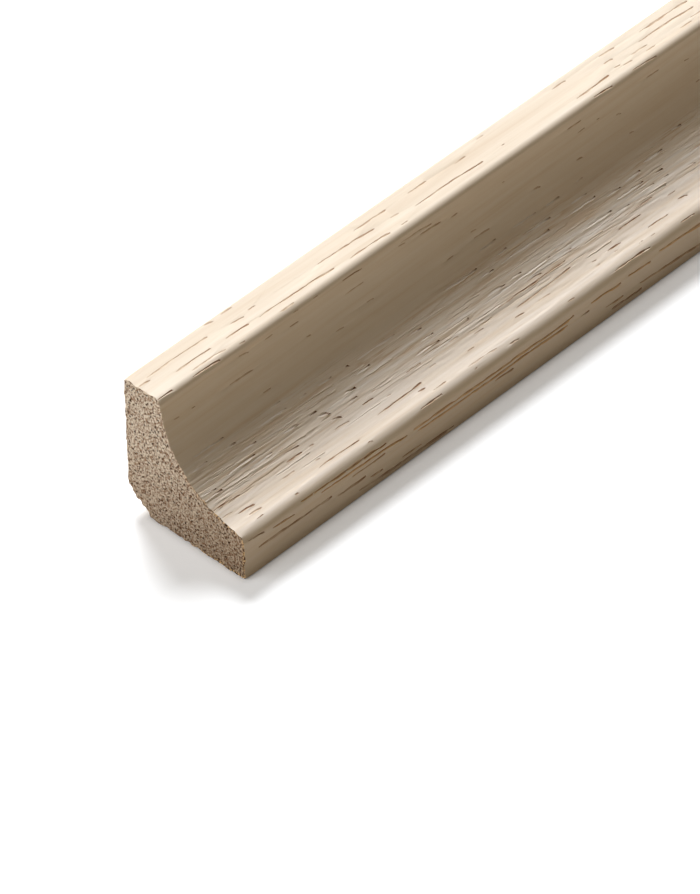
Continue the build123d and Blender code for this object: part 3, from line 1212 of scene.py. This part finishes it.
def add_node(tree, kind, inputs=None, **settings):
    """A new node with its settings, values and links."""
    made = tree.nodes.new(kind)
    for name, value in settings.items():
        setattr(made, name, value)
    for name, value in (inputs or {}).items():
        feed(tree, made.inputs[name], value)
    return made


def multiply(tree, vector, scale):
    node = add_node(tree, "ShaderNodeVectorMath", {0: vector, 1: scale}, operation="MULTIPLY")
    return node.outputs[0]


def span(tree, value, low, high, to_low=0.0, to_high=1.0):
    """A value spread smoothly from one range to another."""
    node = add_node(
        tree, "ShaderNodeMapRange",
        {"Value": value, "From Min": low, "From Max": high, "To Min": to_low, "To Max": to_high},
        interpolation_type="SMOOTHSTEP",
    )
    return node.outputs["Result"]


def mix(tree, factor, first, second, blend="MIX"):
    """Two colours blended by a factor. The colour sockets of this node are its seventh and eighth."""
    inputs = {0: factor, 6: first, 7: second}
    return add_node(tree, "ShaderNodeMix", inputs, data_type="RGBA", blend_type=blend).outputs[2]


def math_node(tree, operation, first, second=0.0):
    return add_node(tree, "ShaderNodeMath", {0: first, 1: second}, operation=operation).outputs[0]


def product(tree, first, second):
    return math_node(tree, "MULTIPLY", first, second)


def new_group(name, inputs, outputs):
    """An empty node group with its sockets, as (tree, incoming sockets, outgoing sockets)."""
    tree = bpy.data.node_groups.new(name, "ShaderNodeTree")
    for direction, sockets in (("INPUT", inputs), ("OUTPUT", outputs)):
        for key, kind in sockets.items():
            tree.interface.new_socket(key, in_out=direction, socket_type=f"NodeSocket{kind}")
    start = tree.nodes.new("NodeGroupInput")
    end = tree.nodes.new("NodeGroupOutput")
    return tree, start.outputs, end.inputs


# Turn of the grain against the moulding's own axes
GRAIN_TURN = (0.0, 0.022, 0.018)
# Layers of the grain as (name, waves per metre along each axis, detail, roughness)
GRAIN_LAYERS = (
    ("Streak", (28.0, 1500.0, 1500.0), 4.0, 0.6),
    ("Drift", (7.0, 210.0, 210.0), 2.0, 0.5),
    ("Fibre", (70.0, 6500.0, 6500.0), 2.0, 0.55),
)
# Waves of the fissures and of their breaks, and how near its middle value the noise makes a fissure
FISSURE_WAVES = (45.0, 1700.0, 1700.0)
BREAK_WAVES = (110.0, 900.0, 900.0)
FISSURE_HALF = 0.035


def grain_group():
    """Streaks, slow drift, fine fibres and fissures that run along the moulding."""
    name = "Wood Grain"
    if name in bpy.data.node_groups:
        return bpy.data.node_groups[name]
    outputs = dict.fromkeys(("Streak", "Drift", "Fibre", "Fissure"), "Float")
    tree, start, end = new_group(name, {"Vector": "Vector"}, outputs)
    turn = {"Vector": start["Vector"], "Rotation": GRAIN_TURN}
    turned = add_node(tree, "ShaderNodeVectorRotate", turn, rotation_type="EULER_XYZ").outputs[0]
    for output, waves_each_way, detail, rough in GRAIN_LAYERS:
        tree.links.new(stretched_noise(tree, turned, waves_each_way, detail, rough), end[output])
    # Fissures are the thin lines where a stretched noise crosses its middle value
    lines = stretched_noise(tree, turned, FISSURE_WAVES)
    off = math_node(tree, "ABSOLUTE", math_node(tree, "SUBTRACT", lines, 0.5))
    broken = span(tree, stretched_noise(tree, turned, BREAK_WAVES), 0.42, 0.6)
    fissure = product(tree, span(tree, off, 0.0, FISSURE_HALF, 1.0, 0.0), broken)
    tree.links.new(fissure, end["Fissure"])
    return tree


def stain_group():
    """Colour darkened inside pores, by how deep the pore is."""
    name = "Pore Stain"
    if name in bpy.data.node_groups:
        return bpy.data.node_groups[name]
    inputs = {"Color": "Color", "Pore Color": "Color", "Pore": "Float"}
    tree, start, end = new_group(name, inputs, {"Color": "Color"})
    stained = mix(tree, start["Pore"], start["Color"], start["Pore Color"])
    tree.links.new(stained, end["Color"])
    return tree


def new_material(name):
    material = bpy.data.materials.new(name)
    material.use_nodes = True
    tree = material.node_tree
    tree.nodes.clear()
    shader = tree.nodes.new("ShaderNodeBsdfPrincipled")
    end = tree.nodes.new("ShaderNodeOutputMaterial")
    tree.links.new(shader.outputs["BSDF"], end.inputs["Surface"])
    return material, tree, shader


def add_group(tree, group, inputs):
    return add_node(tree, "ShaderNodeGroup", inputs, node_tree=group)


def attribute(tree, name):
    return add_node(tree, "ShaderNodeAttribute", attribute_name=name).outputs["Fac"]


def stretched_noise(tree, vector, scale, detail=2.0, rough=0.5):
    """Noise over the object's own coordinates, stretched by a scale in each direction."""
    field = add_node(
        tree, "ShaderNodeTexNoise",
        {"Vector": multiply(tree, vector, scale), "Scale": 1.0, "Detail": detail, "Roughness": rough},
    )
    return field.outputs["Fac"]


def lay_coats(tree, colour, coats):
    """A colour with others laid over it, each given as (share, colour)."""
    for share, coat in coats:
        colour = mix(tree, share, colour, coat)
    return colour


def planed_material(finish):
    """Planed wood: faint streaks, brown pores with painted shade in their deepest heads, scratches and
    fibres painted pale partly as painted highlight, a fine fibre and fissures where the grain was raised.
    """
    material, tree, shader = new_material("planed_wood")
    vector = tree.nodes.new("ShaderNodeTexCoord").outputs["Object"]
    torn = attribute(tree, "rough")
    grain = add_group(tree, grain_group(), {"Vector": vector}).outputs
    streak = grain["Streak"]
    crack = product(tree, grain["Fissure"], span(tree, torn, 0.0, 1.0, 0.1, 0.8))
    # What lies over the planed wood, as (share, colour), from the lowest to the highest
    coats = (
        (span(tree, streak, 0.45, 0.7, 0.0, 0.6), finish.pale),
        (span(tree, grain["Drift"], 0.5, 0.75, 0.0, 0.25), finish.tan),
        (span(tree, streak, 0.48, 0.28, 0.0, 0.25), finish.tan),
        (product(tree, attribute(tree, "bare"), span(tree, streak, 0.35, 0.65, 0.3, 0.65)), finish.bare),
        (product(tree, torn, span(tree, streak, 0.55, 0.68, 0.0, 0.6)), finish.lifted),
        (product(tree, torn, span(tree, streak, 0.48, 0.34, 0.0, 0.55)), finish.tan),
        (crack, finish.tan),
        (attribute(tree, "gold"), finish.gold),
        # Painted highlight, partly real: the pale walls of scratches and lifted fibres
        (product(tree, attribute(tree, "pale"), 0.8), finish.lifted),
    )
    colour = lay_coats(tree, finish.body, coats)
    pore = attribute(tree, "pore")
    stain = {"Color": colour, "Pore Color": finish.pore, "Pore": pore}
    colour = add_group(tree, stain_group(), stain).outputs["Color"]
    # Painted shade: the deepest part of a pore's head is painted near-black, as the shade of the hole
    hole_shade = span(tree, pore, 0.9, 1.0, 0.0, 0.9)
    colour = mix(tree, hole_shade, colour, finish.end_dark_and_hole_shade)
    tree.links.new(colour, shader.inputs["Base Color"])
    rougher = span(tree, torn, 0.0, 1.0, 1.0, 6.0)
    fuzz = product(tree, grain["Fibre"], rougher)
    ridges = product(tree, streak, rougher)
    height = math_node(tree, "ADD", fuzz, ridges)
    height = math_node(tree, "SUBTRACT", height, product(tree, crack, 2.0))
    bump = add_node(tree, "ShaderNodeBump", {"Height": height, "Strength": 1.0, "Distance": 0.008 * MM})
    tree.links.new(bump.outputs["Normal"], shader.inputs["Normal"])
    shader.inputs["Roughness"].default_value = finish.roughness
    shader.inputs["Specular IOR Level"].default_value = 0.25
    return material


# Waves per metre of a cut end's cells, patches and grit
CELL_WAVES = (500.0, 2300.0, 2300.0)
PATCH_WAVES = (600.0, 900.0, 900.0)
GRIT_WAVES = (3000.0, 4000.0, 4000.0)
# Painted shade: a cut end is painted darker and warmer at its foot and away from the wall, and paler up and
# towards the wall: share of the latter, and start and end
FOOT_SHADE_TO_WALL = 0.5
FOOT_SHADE_SPAN = (-4.0 * MM, 16.0 * MM)


def sawn_material(finish):
    """Cut end: a pale net of fibres over brown wood, dark cells, bright grit, painted shade towards its
    foot, and a torn fringe with painted golden glints.
    """
    material, tree, shader = new_material("sawn_end")
    vector = tree.nodes.new("ShaderNodeTexCoord").outputs["Object"]
    places = {"Vector": multiply(tree, vector, CELL_WAVES), "Scale": 1.0}
    cells = add_node(tree, "ShaderNodeTexVoronoi", places, feature="F1")
    net = span(tree, cells.outputs["Distance"], 0.12, 0.55)
    patch = span(tree, stretched_noise(tree, vector, PATCH_WAVES), 0.36, 0.64)
    grit = span(tree, stretched_noise(tree, vector, GRIT_WAVES), 0.4, 0.6)
    axes = add_node(tree, "ShaderNodeSeparateXYZ", {"Vector": vector}).outputs
    low = math_node(tree, "ADD", axes["Z"], product(tree, axes["Y"], FOOT_SHADE_TO_WALL))
    light = product(tree, net, 0.3)
    for mask, share in ((patch, 0.2), (grit, 0.6)):
        light = math_node(tree, "ADD", light, product(tree, mask, share))
    shown = span(tree, light, 0.05, 1.05)
    deep = product(tree, span(tree, net, 0.34, 0.05), span(tree, grit, 0.65, 0.2))
    colour = lay_coats(tree, finish.end_brown, ((shown, finish.end_pale), (deep, finish.end_dark_and_hole_shade)))
    # Painted shade: the cut end is multiplied darker and warmer towards its foot
    tone = mix(tree, span(tree, low, *FOOT_SHADE_SPAN), finish.end_foot_shade, (1.0, 1.0, 1.0))
    colour = mix(tree, 1.0, colour, tone, "MULTIPLY")
    fringe = attribute(tree, "rough")
    gaps = product(tree, fringe, span(tree, grit, 0.45, 0.1))
    # Painted highlight: golden beads on the torn fringe, where light would shine through the fibres
    glint_beads = product(tree, fringe, span(tree, grit, 0.5, 0.8))
    colour = lay_coats(tree, colour, ((gaps, finish.end_dark_and_hole_shade), (glint_beads, finish.gold)))
    stain = {"Color": colour, "Pore Color": finish.end_dark_and_hole_shade, "Pore": attribute(tree, "pore")}
    colour = add_group(tree, stain_group(), stain).outputs["Color"]
    tree.links.new(colour, shader.inputs["Base Color"])
    bump = add_node(tree, "ShaderNodeBump", {"Height": light, "Strength": 1.0, "Distance": 0.15 * MM})
    tree.links.new(bump.outputs["Normal"], shader.inputs["Normal"])
    shader.inputs["Roughness"].default_value = 0.9
    shader.inputs["Specular IOR Level"].default_value = 0.1
    return material


# Stage

# Where the fill light comes from, and how far the painted contact shadow where the moulding meets the floor
# reaches
FILL_FROM = (-0.85, 0.45, 0.42)
CONTACT_SHADE_REACH = 0.9 * MM


def seen_ray(tree):
    """1 for what the camera sees, straight or in gloss or glass, and 0 for light that is thrown back."""
    path = tree.nodes.new("ShaderNodeLightPath").outputs
    seen = math_node(tree, "MAXIMUM", path["Is Camera Ray"], path["Is Glossy Ray"])
    return math_node(tree, "MAXIMUM", seen, path["Is Transmission Ray"])


def floor_material(stage):
    """Pale floor with a light shadow and a painted contact shadow along the moulding's foot. What it throws
    back on the moulding is dimmer and warmer.
    """
    material, tree, shader = new_material("studio_floor")
    seen = seen_ray(tree)
    colour = mix(tree, seen, stage.bounce, stage.floor)
    tree.links.new(colour, shader.inputs["Base Color"])
    # Painted shadow: the camera's white glow on the floor is dimmed by occlusion where the floor meets the
    # moulding
    near = add_node(tree, "ShaderNodeAmbientOcclusion", {"Distance": CONTACT_SHADE_REACH}).outputs["AO"]
    glow = product(tree, product(tree, seen, stage.glow), near)
    tree.links.new(glow, shader.inputs["Emission Strength"])
    shader.inputs["Emission Color"].default_value = (1.0, 1.0, 1.0, 1.0)
    shader.inputs["Roughness"].default_value = 1.0
    shader.inputs["Specular IOR Level"].default_value = 0.0
    return material


def add_floor(stage):
    """A level floor that reaches past the picture, a hair below the moulding."""
    reach = 8.0
    below = -0.02 * MM
    corners = [(x * reach, y * reach, below) for x, y in ((-1, -1), (1, -1), (1, 1), (-1, 1))]
    mesh = bpy.data.meshes.new("studio_floor")
    mesh.from_pydata(corners, [], [(0, 1, 2, 3)])
    mesh.materials.append(floor_material(stage))
    floor = bpy.data.objects.new("studio_floor", mesh)
    bpy.context.scene.collection.objects.link(floor)


def add_sun(name, strength, size, towards):
    """A soft lamp that shines from the given direction."""
    lamp = bpy.data.lights.new(name, "SUN")
    lamp.energy = strength
    lamp.angle = size
    made = bpy.data.objects.new(name, lamp)
    made.rotation_mode = "QUATERNION"
    made.rotation_quaternion = Vector(towards).to_track_quat("Z", "Y")
    made.location = (0.0, 0.5, 1.0)
    bpy.context.scene.collection.objects.link(made)


def add_light(stage):
    """A soft key from above and behind, a fill on the near end, and an even light from all round."""
    key = (math.tan(stage.key_turn), math.tan(stage.key_lean), 1.0)
    add_sun("key", stage.key, stage.key_size, key)
    add_sun("fill", stage.fill, stage.fill_size, FILL_FROM)
    world = bpy.data.worlds.new("studio")
    bpy.context.scene.world = world
    world.use_nodes = True
    tree = world.node_tree
    tree.nodes.clear()
    colour = mix(tree, seen_ray(tree), stage.ambient, (1.0, 1.0, 1.0))
    sky = add_node(tree, "ShaderNodeBackground", {"Color": colour, "Strength": 1.0})
    end = tree.nodes.new("ShaderNodeOutputWorld")
    tree.links.new(sky.outputs[0], end.inputs["Surface"])


def add_camera(stage, section):
    """The camera that the photograph was taken with."""
    turn, rise = stage.azimuth, stage.elevation
    back = Vector((math.sin(turn) * math.cos(rise), -math.cos(turn) * math.cos(rise), math.sin(rise)))
    right = Vector((math.cos(turn), math.sin(turn), 0.0))
    up = back.cross(right)
    tilt = Matrix.Rotation(stage.roll, 3, back)
    right, up = tilt @ right, tilt @ up
    foot = Vector((-section.length / 2, 0.0, 0.0))
    aim = foot + right * stage.aim_right + up * stage.aim_up
    data = bpy.data.cameras.new("camera")
    data.sensor_width = 36.0
    data.lens = stage.lens
    data.clip_start = 0.01
    camera = bpy.data.objects.new("camera", data)
    turned = Matrix((right, up, back)).transposed().to_4x4()
    camera.matrix_world = Matrix.Translation(aim + back * stage.distance) @ turned
    bpy.context.scene.collection.objects.link(camera)
    bpy.context.scene.camera = camera


# Add-on


class ScotiaMouldingOperator(bpy.types.Operator):
    """Builds the moulding with its pores, raised grain and cut ends"""

    bl_idname = "scotia.moulding"
    bl_label = "Build moulding"

    def execute(self, context):
        scene = context.scene
        piece = build_moulding(scene.scotia_section, scene.scotia_grain, scene.scotia_finish)
        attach(piece, BODY)
        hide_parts(NODE)
        return {"FINISHED"}


class ScotiaStageOperator(bpy.types.Operator):
    """Builds the floor, the light and the camera"""

    bl_idname = "scotia.stage"
    bl_label = "Build stage"

    def execute(self, context):
        scene = context.scene
        scene.view_settings.view_transform = "Standard"
        add_floor(scene.scotia_stage)
        add_light(scene.scotia_stage)
        add_camera(scene.scotia_stage, scene.scotia_section)
        return {"FINISHED"}


class ScotiaPanel(bpy.types.Panel):
    """Sizes, colours and steps of the moulding"""

    bl_idname = "VIEW3D_PT_scotia"
    bl_label = "Scotia moulding"
    bl_space_type = "VIEW_3D"
    bl_region_type = "UI"
    bl_category = "Scotia"

    def draw(self, context):
        layout = self.layout
        for name, group in GROUPS.items():
            box = layout.box()
            for key in group.__annotations__:
                box.prop(getattr(context.scene, name), key)
        for operator in OPERATORS:
            layout.operator(operator.bl_idname)


GROUPS = {
    "scotia_section": ScotiaSection,
    "scotia_grain": ScotiaGrain,
    "scotia_finish": ScotiaFinish,
    "scotia_stage": ScotiaStage,
}
OPERATORS = (ScotiaMouldingOperator, ScotiaStageOperator)
CLASSES = (*GROUPS.values(), *OPERATORS, ScotiaPanel)


def register():
    for item in CLASSES:
        bpy.utils.register_class(item)
    for name, group in GROUPS.items():
        setattr(bpy.types.Scene, name, PointerProperty(type=group))


def unregister():
    for name in GROUPS:
        delattr(bpy.types.Scene, name)
    for item in reversed(CLASSES):
        bpy.utils.unregister_class(item)


def main():
    register()
    bpy.ops.scotia.moulding()
    bpy.ops.scotia.stage()


if __name__ == "__main__":
    main()
